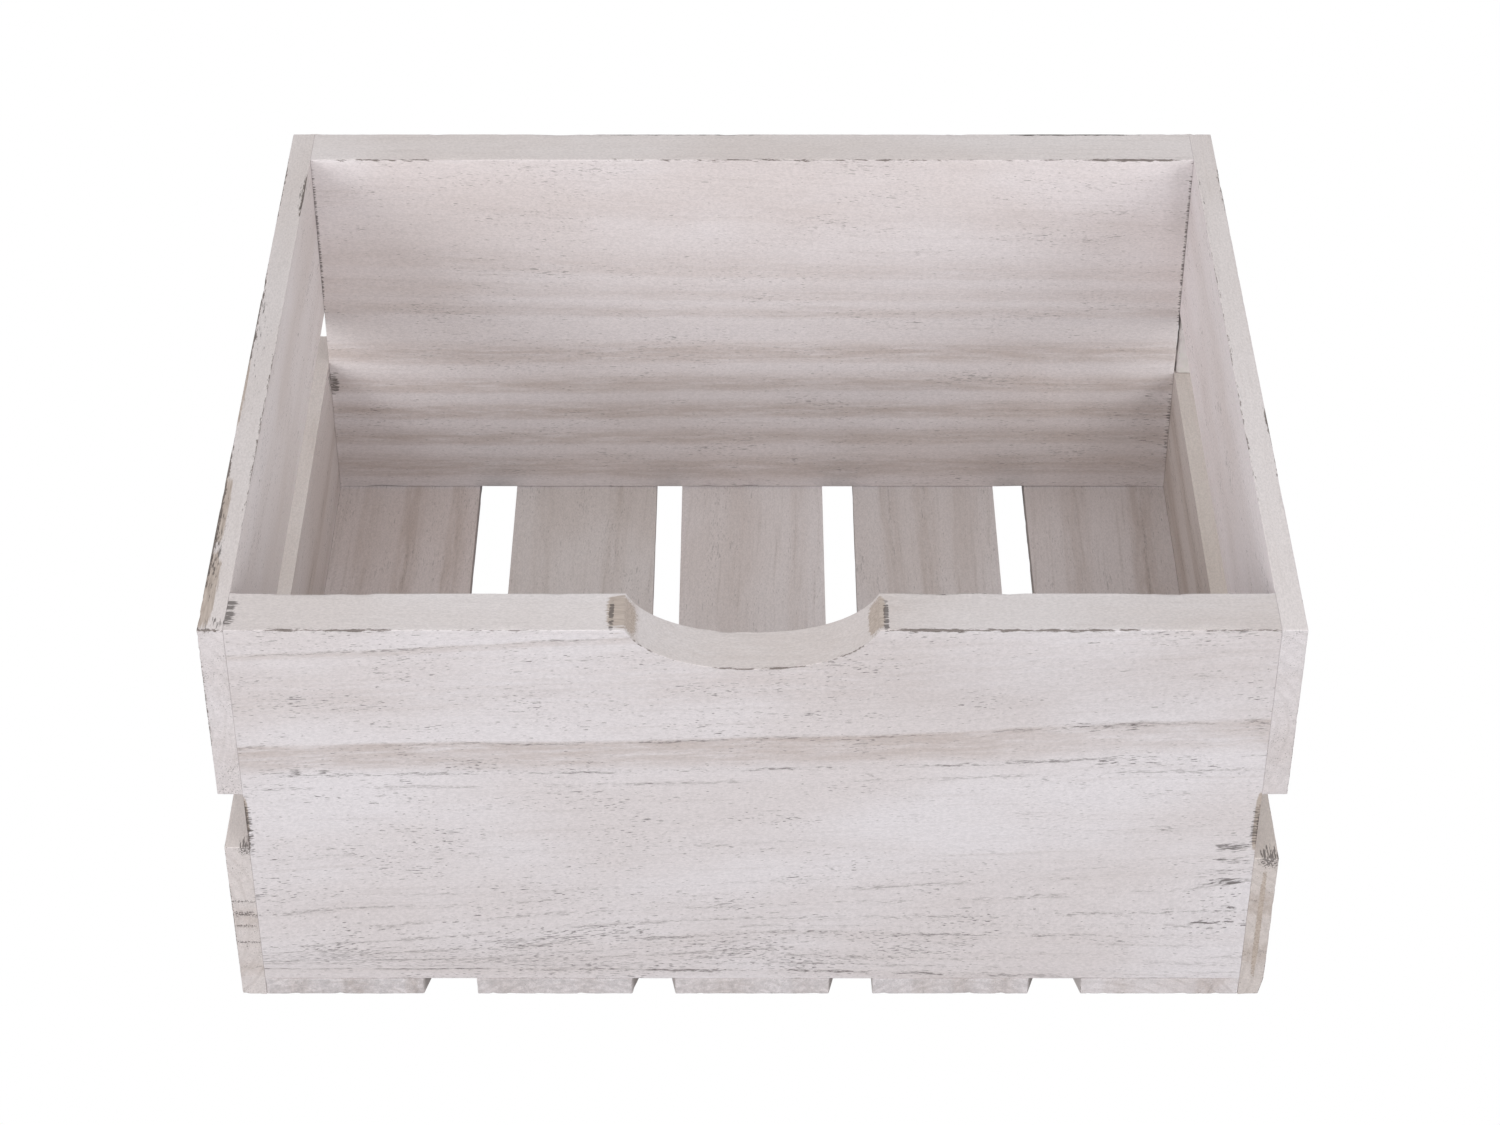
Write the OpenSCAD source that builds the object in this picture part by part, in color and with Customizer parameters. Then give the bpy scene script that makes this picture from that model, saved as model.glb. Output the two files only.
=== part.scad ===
// Open-topped wooden apple crate, nailed together from sawn boards.
// Two thick end boards stand on five base slats, and two slats close each side.
// X runs along the end boards, +Y is the back, +Z is up.
// The origin is the centre of the underside.

/* [Crate] */
// Overall width, over the outer faces of the side slats
crate_w = 356; // [300:1:420]
// Overall depth, front to back
crate_d = 302; // [240:1:360]
// Overall height
crate_h = 165; // [150:1:200]
// Bevel that breaks the long edges of every slat
edge_bevel = 0.8; // [0.2:0.1:1.5]

/* [End boards] */
// Thickness of the front and the back board
end_t = 19; // [15:0.5:25]

/* [Hand notch] */
// Width of the notch in the front board's top edge
notch_w = 82; // [60:1:120]
// Depth of the notch at its middle
notch_depth = 16.3; // [8:0.1:30]
// Flatness of the notch's floor, where 2 is an ellipse and more is flatter
notch_flatness = 2.3; // [1.6:0.1:4]
// How fast the ends of the notch rise, where less is steeper
notch_rise = 0.6; // [0.5:0.05:1]
// Rounding of the two shoulders
notch_shoulder = 2; // [0.5:0.1:4]

/* [Side slats] */
// Thickness of the side slats
side_t = 8.5; // [6:0.5:12]
// Height of each upper side slat
upper_slat_h = 71; // [50:1:80]
// Gap between the upper and the lower slat, on the left and on the right
side_gaps = [24, 29]; // [10:0.5:32]

/* [Base slats] */
// Thickness of the base slats
base_t = 7.5; // [6:0.5:12]
// Gaps between the base slats, from left to right
base_gaps = [15.2, 10.4, 12.6, 12.8]; // [6:0.1:18]

/* [Nails] */
// Shank diameter
nail_d = 1.6; // [1.2:0.1:2]
// Head diameter
nail_head_d = 3; // [2.2:0.1:4]
// Head thickness
nail_head_t = 0.8; // [0.5:0.1:1]
// Length from the head's face to the tip
nail_len = 25; // [20:1:28]
// Depth of the head below the wood's surface
nail_sink = 0.4; // [0.2:0.1:1]
// Distance of a nail from the edge of its slat
nail_inset = 14; // [10:1:18]

/* [Hidden] */
$fn = 32;

// Sides, as signs along X
LEFT = -1;
RIGHT = 1;

// Whitewashed wood in the three shades of its boards, and wire nails
END_COLOUR = [0.82, 0.79, 0.79];
SIDE_COLOUR = [0.78, 0.75, 0.74];
BASE_COLOUR = [0.72, 0.69, 0.68];
NAIL_COLOUR = [0.6, 0.6, 0.6];

inner_w = crate_w - 2 * side_t;
upper_slat_z = crate_h - upper_slat_h;
notch_steps = 48;
nail_tip = 2;
nail_tip_d = 0.3;
// The lowest side nails pass this far above the tips of the base nails
nail_clearance = 6;
// The nails enter the middle of each end board's thickness
nail_ys = [-(crate_d - end_t) / 2, (crate_d - end_t) / 2];

function total(list, count) = count == 0 ? 0 : list[count - 1] + total(list, count - 1);

// Base slats are equally wide and fill the space that the gaps leave
base_slat_w = (inner_w - total(base_gaps, 4)) / 5;
function base_slat_x(number) =
    -inner_w / 2 + (number - 1) * base_slat_w + total(base_gaps, number - 1);

// Top of the lower side slat, and the heights of the nails in each slat
function lower_slat_top(side) = upper_slat_z - (side == LEFT ? side_gaps[0] : side_gaps[1]);
upper_nail_zs = [upper_slat_z + nail_inset, crate_h - nail_inset];
function lower_nail_zs(side) =
    [nail_sink + nail_len + nail_clearance, lower_slat_top(side) - nail_inset];

// Depth of the hand notch at u, which runs from -1 to 1 across its width.
// A superellipse bowl meets the top edge through two rounded shoulders.
notch_bowl = sqrt(pow(notch_depth + notch_shoulder, 2) - pow(notch_shoulder, 2));
function notch_drop(u) =
    let (bowl = notch_bowl * pow(1 - pow(abs(u), notch_flatness), notch_rise))
    sqrt(pow(bowl, 2) + pow(notch_shoulder, 2)) - notch_shoulder;

// Outline of the front board in X and Z, notch included
front_outline = concat(
    [[-inner_w / 2, crate_h], [-inner_w / 2, base_t], [inner_w / 2, base_t], [inner_w / 2, crate_h]],
    [for (i = [0:notch_steps])
        let (u = cos(180 * i / notch_steps))
        [u * notch_w / 2, crate_h - notch_drop(u)]]
);

// Rectangle with its four corners bevelled
function bevelled(w, h) =
    let (b = edge_bevel)
    [[b, 0], [w - b, 0], [w, b], [w, h - b], [w - b, h], [b, h], [0, h - b], [0, b]];

// Extrudes an outline in X and Z towards +Y
module along_y(start, length) {
    translate([0, start + length, 0]) rotate([90, 0, 0]) linear_extrude(length) children();
}

// Slat that runs the whole depth of the crate, from its lowest corner in X and Z
module slat(x, z, w, h) {
    along_y(-crate_d / 2, crate_d) translate([x, z]) polygon(bevelled(w, h));
}

// Wire nail that points up, with its head's face at z = 0
module nail() {
    cylinder(d = nail_head_d, h = nail_head_t);
    cylinder(d = nail_d, h = nail_len - nail_tip);
    translate([0, 0, nail_len - nail_tip]) cylinder(d1 = nail_d, d2 = nail_tip_d, h = nail_tip);
}

// The space that a nail and its sunk head take out of the wood
module nail_hole() {
    nail();
    translate([0, 0, -2 * nail_sink]) cylinder(d = nail_head_d, h = 2 * nail_sink + nail_head_t);
}

module at_side_nails(side, zs) {
    for (y = nail_ys, z = zs)
        translate([side * (crate_w / 2 - nail_sink), y, z]) rotate([0, -90 * side, 0]) children();
}

module at_base_nails(number) {
    for (y = nail_ys, x = [nail_inset, base_slat_w - nail_inset])
        translate([base_slat_x(number) + x, y, nail_sink]) children();
}

// Every nail hole of the crate, for the end boards that all the nails enter
module all_nail_holes() {
    for (side = [LEFT, RIGHT]) {
        at_side_nails(side, upper_nail_zs) nail_hole();
        at_side_nails(side, lower_nail_zs(side)) nail_hole();
    }
    for (number = [1:5]) at_base_nails(number) nail_hole();
}

module upper_slat(side) {
    color(SIDE_COLOUR) difference() {
        slat(side == LEFT ? -crate_w / 2 : inner_w / 2, upper_slat_z, side_t, upper_slat_h);
        at_side_nails(side, upper_nail_zs) nail_hole();
    }
}

module lower_slat(side) {
    color(SIDE_COLOUR) difference() {
        slat(side == LEFT ? -crate_w / 2 : inner_w / 2, 0, side_t, lower_slat_top(side));
        at_side_nails(side, lower_nail_zs(side)) nail_hole();
    }
}

module base_slat(number) {
    color(BASE_COLOUR) difference() {
        slat(base_slat_x(number), 0, base_slat_w, base_t);
        at_base_nails(number) nail_hole();
    }
}

module front_board() {
    color(END_COLOUR) difference() {
        along_y(-crate_d / 2, end_t) polygon(front_outline);
        all_nail_holes();
    }
}

module back_board() {
    color(END_COLOUR) difference() {
        translate([-inner_w / 2, crate_d / 2 - end_t, base_t])
            cube([inner_w, end_t, crate_h - base_t]);
        all_nail_holes();
    }
}

module upper_slat_nails(side) {
    color(NAIL_COLOUR) at_side_nails(side, upper_nail_zs) nail();
}

module lower_slat_nails(side) {
    color(NAIL_COLOUR) at_side_nails(side, lower_nail_zs(side)) nail();
}

module base_slat_nails(number) {
    color(NAIL_COLOUR) at_base_nails(number) nail();
}

front_board();
back_board();
upper_slat(LEFT);  // left_upper_slat
lower_slat(LEFT);  // left_lower_slat
upper_slat(RIGHT);  // right_upper_slat
lower_slat(RIGHT);  // right_lower_slat
base_slat(1);  // base_slat_1
base_slat(2);  // base_slat_2
base_slat(3);  // base_slat_3
base_slat(4);  // base_slat_4
base_slat(5);  // base_slat_5
upper_slat_nails(LEFT);  // left_upper_slat_nails
lower_slat_nails(LEFT);  // left_lower_slat_nails
upper_slat_nails(RIGHT);  // right_upper_slat_nails
lower_slat_nails(RIGHT);  // right_lower_slat_nails
base_slat_nails(1);  // base_slat_1_nails
base_slat_nails(2);  // base_slat_2_nails
base_slat_nails(3);  // base_slat_3_nails
base_slat_nails(4);  // base_slat_4_nails
base_slat_nails(5);  // base_slat_5_nails
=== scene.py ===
import math
from dataclasses import dataclass, field

import bpy
import numpy as np
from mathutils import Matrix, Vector


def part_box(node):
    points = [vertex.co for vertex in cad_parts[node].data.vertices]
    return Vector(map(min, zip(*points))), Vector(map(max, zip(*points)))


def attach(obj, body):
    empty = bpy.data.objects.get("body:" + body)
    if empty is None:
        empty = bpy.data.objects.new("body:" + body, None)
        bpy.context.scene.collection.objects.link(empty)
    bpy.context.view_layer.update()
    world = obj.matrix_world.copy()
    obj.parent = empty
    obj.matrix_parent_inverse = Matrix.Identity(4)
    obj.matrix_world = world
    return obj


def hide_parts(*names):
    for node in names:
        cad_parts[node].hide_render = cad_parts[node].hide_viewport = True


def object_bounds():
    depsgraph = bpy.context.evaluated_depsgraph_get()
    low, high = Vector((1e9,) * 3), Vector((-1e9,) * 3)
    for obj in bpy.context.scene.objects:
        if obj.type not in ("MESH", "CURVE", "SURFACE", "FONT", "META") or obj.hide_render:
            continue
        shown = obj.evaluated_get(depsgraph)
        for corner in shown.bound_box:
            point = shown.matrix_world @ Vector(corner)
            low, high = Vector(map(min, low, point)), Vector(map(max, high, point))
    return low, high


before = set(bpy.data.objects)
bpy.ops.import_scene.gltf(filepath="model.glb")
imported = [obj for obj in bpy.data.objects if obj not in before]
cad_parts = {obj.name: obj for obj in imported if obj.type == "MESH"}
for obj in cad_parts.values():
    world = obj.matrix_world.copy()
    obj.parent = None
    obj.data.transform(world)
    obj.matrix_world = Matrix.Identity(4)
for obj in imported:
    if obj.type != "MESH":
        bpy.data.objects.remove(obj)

cad_bounds = [list(corner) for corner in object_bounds()]

# Lengths are in metres in the crate's own frame: +X right, +Y back, +Z up, with the origin
# under the middle of the crate. Values written in millimetres are multiplied by MM.
MM = 0.001

# ---------------------------------------------------------------- noise


def lattice(ix, iy, iz, seed):
    """A fixed random number from 0 to 1 for each whole-numbered place."""
    mask = 0xFFFFFFFF
    h = (ix * 374761393 + iy * 668265263 + iz * 2246822519 + seed * 3266489917) & mask
    h = ((h ^ (h >> 13)) * 1274126177) & mask
    h = ((h ^ (h >> 16)) * 2246822519) & mask
    return ((h ^ (h >> 15)) & mask) / mask


def noise(p, seed):
    """Smooth noise from 0 to 1 at the points p, with cells of one unit."""
    cell = np.floor(p).astype(np.int64)
    f = p - cell
    f = f * f * (3 - 2 * f)
    total = 0
    for dx in (0, 1):
        for dy in (0, 1):
            for dz in (0, 1):
                share_x = f[:, 0] if dx else 1 - f[:, 0]
                share_y = f[:, 1] if dy else 1 - f[:, 1]
                share_z = f[:, 2] if dz else 1 - f[:, 2]
                value = lattice(cell[:, 0] + dx, cell[:, 1] + dy, cell[:, 2] + dz, seed)
                total = total + share_x * share_y * share_z * value
    return total


def fractal(p, seed, octaves=3):
    """Noise summed over octaves, from 0 to 1."""
    total = 0
    weight = 0
    for octave in range(octaves):
        share = 0.5**octave
        total = total + share * noise(p * 2**octave, seed + 31 * octave)
        weight += share
    return total / weight


def smoothstep(lo, hi, v):
    """0 below lo, 1 above hi and smooth between them."""
    t = np.clip((v - lo) / (hi - lo), 0, 1)
    return t * t * (3 - 2 * t)


# ---------------------------------------------------------------- the boards of this crate


@dataclass
class Board:
    """One board of the crate, and what sets it apart from the others. All lengths in mm."""

    node: str
    grain: int  # axis that the grain runs along, 0 for X and 1 for Y
    thin: int  # axis of the thickness
    seed: int
    # Growth rings: height across the board, widths of the soft band below and above it,
    # darkness of the band, and darkness of the row of pores along the ring
    rings: list = field(default_factory=list)
    # Climb of the rings, as (height across the board, slope left of the middle, slope right)
    slopes: tuple = ((0, 0.0, 0.0), (1, 0.0, 0.0))
    wander: float = 5.0  # how far the rings stray from that course
    # Places with marks, as (centre in the crate's frame, half size, strength)
    worn: list = field(default_factory=list)  # edges with the wash rubbed off
    bare: list = field(default_factory=list)  # places down to the bare wood
    dark: list = field(default_factory=list)  # dark scuffs
    calm: list = field(default_factory=list)  # places where rings and ticks hardly show
    # The next list holds places darkened with painted shade
    painted_shade: list = field(default_factory=list)  # places where the whole surface is darker
    busy: list = field(default_factory=list)  # places crowded with open pores
    cuts: tuple = (0, 0)  # how far the left and right corners are cut back
    end_tone: float = 0.94  # how dark the end grain shows through the wash
    end_arcs: float = 0.3  # how clearly the rings show there
    # Colour factors over the whole board, and further ones that paint light and shade onto its faces
    # inside the crate
    tone: tuple = (1, 1, 1)
    inner_light_and_shade: tuple = (1, 0.99, 0.96)
    ticks: float = 1.0  # how dark the open pores are
    streaks: float = 0.4  # how clearly streaks show through the wash
    notched: bool = False  # whether the hand notch is cut into its top edge

    @property
    def across(self):
        """The axis that runs across the grain on the board's wide faces."""
        return 3 - self.grain - self.thin


# The crate's outer faces and the inner face of the back board, in mm
LEFT_X, FRONT_Y = (round(value / MM) for value in cad_bounds[0][:2])
RIGHT_X, BACK_Y, TOP_Z = (round(value / MM) for value in cad_bounds[1])
INNER_Y = round(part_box("back_board")[0][1] / MM)

BOARDS = [
    Board(
        "front_board", 0, 1, 3,
        rings=[(156.6, 3, 0.4, 0.45, 0.5), (148, 24, 7, 0.16, 0.2), (137, 18, 9, 0.12, 0),
               (111.5, 13, 1.2, 0.7, 0.5), (98, 0, 0, 0, 0.6), (92, 0, 0, 0, 0.4),
               (64, 9, 3, 0.04, 0.25), (46, 0, 0, 0, 0.3), (41, 7, 2, 0.04, 0.4),
               (35, 0, 0, 0, 0.35), (29, 0, 0, 0, 0.4), (25.5, 0, 0, 0, 0.4),
               (22.5, 5, 2, 0.08, 0.55), (18.5, 0, 0, 0, 0.3), (14.5, 5, 2, 0.08, 0.45),
               (11.5, 0, 0, 0, 0.5), (8, 0, 0, 0, 0.35), (4.5, 4, 3, 0.15, 0.75)],
        slopes=((4, -0.01, -0.035), (13, 0.085, -0.025), (22, 0.085, -0.015), (34, 0.05, 0.03),
                (48, 0.05, 0.075), (85, 0.02, 0.02), (112, 0.034, 0.034), (147, 0.06, 0.06)),
        wander=2.2,
        worn=[((-136, FRONT_Y, TOP_Z), (38, 4, 3), 0.82), ((90, FRONT_Y, TOP_Z), (54, 4, 3), 0.8),
              ((156, FRONT_Y, TOP_Z), (20, 4, 3), 0.7), ((-82, FRONT_Y, TOP_Z), (26, 4, 3), 0.6),
              ((58, FRONT_Y, TOP_Z), (20, 4, 3), 1.0),
              ((4, FRONT_Y, 148.7), (26, 4, 3), 0.75), ((32, FRONT_Y, 154), (12, 4, 9), 0.65),
              ((-36, FRONT_Y, 158), (9, 4, 8), 0.6), ((60, -INNER_Y, TOP_Z), (22, 3, 3), 0.7),
              ((-169.5, FRONT_Y, 80), (3, 3, 17), 1.0), ((169.5, FRONT_Y, 80), (3, 3, 17), 0.7)],
        busy=[((-150, FRONT_Y, 18), (46, 3, 9), 0.8), ((-70, FRONT_Y, 22), (60, 3, 15), 0.8),
              ((30, FRONT_Y, 22), (70, 3, 13), 0.7), ((150, FRONT_Y, 12), (50, 3, 5), 0.5)],
        calm=[((128, FRONT_Y, 119), (62, 3, 12), 0.42), ((128, FRONT_Y, 13), (58, 3, 16), 0.6),
              ((95, FRONT_Y, 82), (80, 3, 22), 0.6), ((110, FRONT_Y, 148), (60, 3, 16), 0.4)],
        bare=[((-42.3, -141.5, 160), (7, 12, 12), 0.9), ((40.2, -141.5, 162), (4, 12, 12), 0.85),
              ((169.6, FRONT_Y, 82), (2.2, 3, 17), 1.3), ((-169.5, FRONT_Y, 85), (1.6, 3, 12), 0.8)],
        dark=[((162, FRONT_Y, 70), (10, 3, 3.4), 0.88), ((163, FRONT_Y, 64), (11, 3, 3.4), 0.76),
              ((162, FRONT_Y, 54), (12, 3, 2.6), 0.9), ((160, FRONT_Y, 43.5), (10, 3, 4), 0.6),
              ((158, FRONT_Y, 35), (14, 3, 2.6), 0.7), ((168.6, FRONT_Y, 80), (2.4, 3, 17), 0.8),
              ((118, FRONT_Y, 124), (28, 3, 4), 0.62), ((124, FRONT_Y, 109), (26, 3, 5), 0.58),
              ((140, FRONT_Y, 78), (8, 3, 3.5), 0.66), ((-169, -142, TOP_Z), (4, 11, 3), 0.95),
              ((-45.4, -143, TOP_Z), (1.4, 12, 3), 0.98), ((43, -144, TOP_Z), (1.5, 12, 3), 1.02),
              ((-150, FRONT_Y, 104), (30, 3, 3.5), 0.62), ((-168.8, FRONT_Y, 78), (2.6, 3, 22), 0.72)],
        # Painted shade on the right of the top face and of the upper front face
        painted_shade=[((110, -141, TOP_Z), (80, 14, 3), 0.06), ((100, FRONT_Y, 140), (90, 3, 24), 0.07)],
        tone=(0.975, 0.985, 0.995), ticks=1.2, streaks=0.3, notched=True,
    ),
    Board(
        "back_board", 0, 1, 17,
        rings=[(134, 6, 9, 0.12, 0.15), (108, 5, 8, 0.26, 0.2), (96, 4, 5, 0.26, 0.1),
               (87, 3, 4, 0.36, 0.1), (68, 7, 6, 0.6, 0.2), (52, 5, 6, 0.62, 0.1),
               (39, 5, 5, 0.7, 0.2), (26, 5, 5, 0.62, 0.1),
               (12, 8, 6, 0.66, 0)],
        slopes=((70, 0.0, 0.0), (100, -0.02, -0.02), (140, -0.05, -0.05)), wander=2.5,
        worn=[((-30, BACK_Y, TOP_Z), (56, 3, 3), 0.8), ((126, BACK_Y, TOP_Z), (38, 4, 3), 1.2),
              ((-140, INNER_Y, TOP_Z), (30, 3, 3), 0.75), ((146, INNER_Y, TOP_Z), (26, 3, 3), 1.0),
              ((20, INNER_Y, TOP_Z), (120, 3, 3), 0.65)],
        dark=[((-169.5, INNER_Y, 128), (1.7, 2, 56), 0.85), ((169.5, INNER_Y, 126), (1.7, 2, 60), 0.85),
              ((169.5, INNER_Y, 40), (3, 2, 36), 0.7), ((-168.4, INNER_Y, 60), (3.5, 3, 9), 0.9),
              ((162, INNER_Y, 40), (16, 3, 34), 0.5),
              ((124, 150.4, TOP_Z), (44, 1.5, 3), 0.9), ((-30, 150.6, TOP_Z), (60, 1.2, 3), 0.75),
              ((60, 143, TOP_Z), (70, 7, 3), 0.35), ((-95, INNER_Y, 117), (60, 3, 14), 0.46)],
        # Painted shade low on the inner face and in its right-hand corners
        painted_shade=[((0, INNER_Y, 20), (300, 3, 44), 0.12), ((150, INNER_Y, 44), (30, 3, 34), 0.16),
               ((0, INNER_Y, 44), (120, 3, 26), 0.16), ((166, INNER_Y, 148), (6, 3, 24), 0.14)],
        inner_light_and_shade=(1.13, 1.13, 1.11), ticks=0.8, streaks=0.3,
    ),
    Board(
        "left_upper_slat", 1, 0, 23,
        rings=[(20, 8, 9, 0.14, 0.15), (48, 10, 8, 0.14, 0.15)],
        worn=[((LEFT_X, -90, TOP_Z), (4, 62, 4), 1.15), ((LEFT_X, 25, TOP_Z), (3, 50, 4), 0.95),
              ((LEFT_X, 110, TOP_Z), (3, 40, 4), 0.7), ((-169.5, 108, TOP_Z), (3, 22, 3), 1.0),
              ((-169.5, -40, TOP_Z), (3, 90, 3), 0.6), ((-174, FRONT_Y, TOP_Z), (6, 3, 3), 0.9),
              ((LEFT_X, FRONT_Y, 132), (3, 3, 36), 0.6)],
        bare=[((LEFT_X, -130, TOP_Z), (5.8, 28, 5), 1.0), ((LEFT_X, -88, TOP_Z), (4.4, 28, 4), 0.9),
              ((LEFT_X, -20, TOP_Z), (2, 40, 3), 0.6)],
        dark=[((-173, -147, TOP_Z), (6, 6, 3), 0.66), ((-176.5, -112, TOP_Z), (3.6, 44, 3), 0.7),
              ((-170, 107, TOP_Z), (2.5, 18, 3), 0.7), ((-177, 22, TOP_Z), (3, 26, 3), 0.6),
              ((-174, -30, TOP_Z), (4.5, 110, 3), 0.42)],
        # Painted shade along the top face
        painted_shade=[((-174, 0, TOP_Z), (7, 170, 3), 0.1)],
        end_tone=0.89, end_arcs=0.15, inner_light_and_shade=(1.33, 1.34, 1.29), streaks=0.25,
    ),
    Board(
        "left_lower_slat", 1, 0, 29, rings=[(15, 5, 5, 0.35, 0.4), (38, 7, 5, 0.4, 0.4)],
        worn=[((LEFT_X, FRONT_Y, 36), (3, 3, 34), 0.6)],
        dark=[((-169.5, 130, 63), (3, 7, 10), 0.75), ((-171, FRONT_Y, 70), (4, 9, 6), 0.85),
              ((-174, FRONT_Y, 45), (8, 3, 1.6), 0.85), ((-174, FRONT_Y, 39), (8, 3, 2), 0.85),
              ((-174, FRONT_Y, 33), (8, 3, 1.4), 0.75), ((-174, FRONT_Y, 25), (8, 3, 1.2), 0.9)],
        end_tone=0.9, end_arcs=0.25, tone=(0.95, 0.93, 0.9), inner_light_and_shade=(1.08, 1.09, 1.08),
    ),
    Board(
        "right_upper_slat", 1, 0, 37, rings=[(18, 8, 8, 0.12, 0.15), (50, 10, 8, 0.14, 0.15)],
        worn=[((169.5, 0, TOP_Z), (3, 150, 3), 0.5), ((RIGHT_X, -37, TOP_Z), (3, 12, 3), 1.0),
              ((RIGHT_X, 110, TOP_Z), (3, 30, 3), 0.7)],
        dark=[((170, 110, TOP_Z), (3, 30, 3), 0.55)],
        end_tone=0.87, end_arcs=0.15, inner_light_and_shade=(1.4, 1.39, 1.37), streaks=0.25,
    ),
    Board(
        "right_lower_slat", 1, 0, 41, rings=[(22, 7, 6, 0.5, 0.4), (47, 8, 6, 0.55, 0.4)],
        dark=[((175, FRONT_Y, 64), (6, 12, 6), 0.85)],
        bare=[((173.9, FRONT_Y, 34), (1.3, 3, 36), 0.95)],
        cuts=(0, 1.4), end_tone=0.9,
        end_arcs=0.25, tone=(0.88, 0.85, 0.8), inner_light_and_shade=(1.04, 1.04, 1.03),
    ),
]
# Rings, painted light and shade inside the crate, cut corners and end tone of each base slat, from left
# to right
BASE_SLATS = [
    ([(14, 5, 5, 0.3, 0.2), (30, 5, 6, 0.5, 0.25), (49, 5, 5, 0.5, 0.25)],
     (0.99, 0.96, 0.92), (0, 2.6), 0.72),
    ([(12, 6, 7, 0.2, 0.15), (41, 6, 6, 0.25, 0.2)],
     (1.0, 1.0, 0.96), (0.8, 2.8), 0.74),
    ([(22, 8, 8, 0.2, 0.15), (46, 5, 5, 0.2, 0.15)],
     (1.08, 1.08, 1.05), (1.8, 2.2), 0.76),
    ([(16, 5, 6, 0.35, 0.3), (30, 5, 5, 0.4, 0.25), (45, 6, 6, 0.3, 0.2)],
     (1.0, 1.0, 0.97), (0.3, 3.0), 0.78),
    ([(20, 7, 7, 0.35, 0.2), (47, 6, 8, 0.55, 0.3)],
     (0.96, 0.95, 0.92), (2.6, 0), 0.88),
]
for number, (rings, inner_light_and_shade, cuts, end_tone) in enumerate(BASE_SLATS, 1):
    name = f"base_slat_{number}"
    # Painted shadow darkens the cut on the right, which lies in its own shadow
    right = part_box(name)[1][0] / MM
    cut_shadow = ((right - cuts[1] / 2, -146.3, 3.7), (2.2, 4.5, 9), 0.18 * cuts[1])
    slat = Board(
        name, 1, 2, 50 + 7 * number, rings, cuts=cuts,
        end_tone=end_tone, end_arcs=0.25, inner_light_and_shade=inner_light_and_shade, ticks=0.45, streaks=0.5,
        painted_shade=[cut_shadow],
    )
    BOARDS.append(slat)

# ---------------------------------------------------------------- the hand notch

# The same notch as the CAD front board's
NOTCH_HALF = 41 * MM
NOTCH_DEPTH = 16.3 * MM
NOTCH_SHOULDER = 2 * MM
NOTCH_FLATNESS = 2.3
NOTCH_RISE = 0.6
# Only the top of the board, to this depth, bends down with the notch
NOTCH_REACH = 60 * MM
# Grid lines over the notch, close together at its two steep ends
NOTCH_STEEP = np.arange(34, 46, 0.4)
NOTCH_ROWS = np.concatenate([NOTCH_STEEP - 80, np.arange(-34, 34, 1.0), NOTCH_STEEP]) * MM


def notch_drop(x):
    """How far the front board's top edge lies below its ends, at each x."""
    depth = math.sqrt((NOTCH_DEPTH + NOTCH_SHOULDER) ** 2 - NOTCH_SHOULDER**2)
    u = np.clip(np.abs(x) / NOTCH_HALF, 0, 1)
    bowl = depth * (1 - u**NOTCH_FLATNESS) ** NOTCH_RISE
    return np.sqrt(bowl**2 + NOTCH_SHOULDER**2) - NOTCH_SHOULDER


# ---------------------------------------------------------------- boards as meshes

# Edges are rounded to a radius that wanders around EDGE_RADIUS, and tighter at the joints
EDGE_RADIUS = 0.5 * MM
EDGE_LEAST, EDGE_SPREAD = 0.45, 0.9
EDGE_CELL = 16 * MM
JOINT_RADIUS = 0.1 * MM
JOINT_FADE = (0.3 * MM, 3 * MM)

# Distances between grid lines
EDGE_ANGLES = np.radians([45, 34, 23, 12, 0])
EDGE_ROWS = np.array([0.4, 0.9, 1.5, 2.3]) * MM
STEP_ALONG = 2.6 * MM
STEP_ACROSS = 1.6 * MM
STEP_THROUGH = 1.0 * MM
CLOSEST_ROWS = 0.1 * MM

# Nail heads and the dimples they sit in
NAIL_HEAD_R = 1.5 * MM
NAIL_DIMPLE = 0.46 * MM
NAIL_RIM = 0.45 * MM
NAIL_NEAR = 1 * MM
NAIL_ROWS = np.array([-2.3, -1.8, -1.5, -0.9, -0.3, 0.3, 0.9, 1.5, 1.8, 2.3]) * MM

# Low relief. Cells give a noise's size, along and across the grain
NICK_CELLS = (9 * MM, 3 * MM)
NICK_LEVELS = (0.6, 0.78)
NICK_WIDTH = 0.9 * MM
NICK_DEPTH = 0.5 * MM
RIDGE_CELLS = (70 * MM, 3.2 * MM)
RIDGE_DEPTH = 0.03 * MM
LOOSE_RIDGE_DEPTH = 0.1 * MM

# Cut corners: how far back from the front, or up from the bottom, and how far across
CUT_LENGTH = 9.4 * MM
CUT_HEIGHT = 7.5 * MM
CUT_WIDTH = 8 * MM

# How the grain strays and ripples
STRAY_CELLS = (130 * MM, 60 * MM)
RIPPLE_CELLS = (14 * MM, 9 * MM)
RIPPLE = 1.1

# Wear: faint all along the edges, and deeper in its places
SPOT_FADE = (0.3, 1.1)
WEAR_CELLS = (30 * MM, 16 * MM)
WEAR_LEVELS = (0.45, 0.7)
FAINT_WIDTH = 0.7 * MM
WEAR_WIDTH = 1.1 * MM

# Where the surfaces count as inside the crate for its painted light and shade, and how that fades
# towards the top
INSIDE_MARGIN = 0.3 * MM
INSIDE_EDGE = 0.4 * MM
INSIDE_BOTTOM = (2 * MM, 5 * MM)
INSIDE_TOP = (60 * MM, 160 * MM)
INSIDE_LOSS = 0.6


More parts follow.
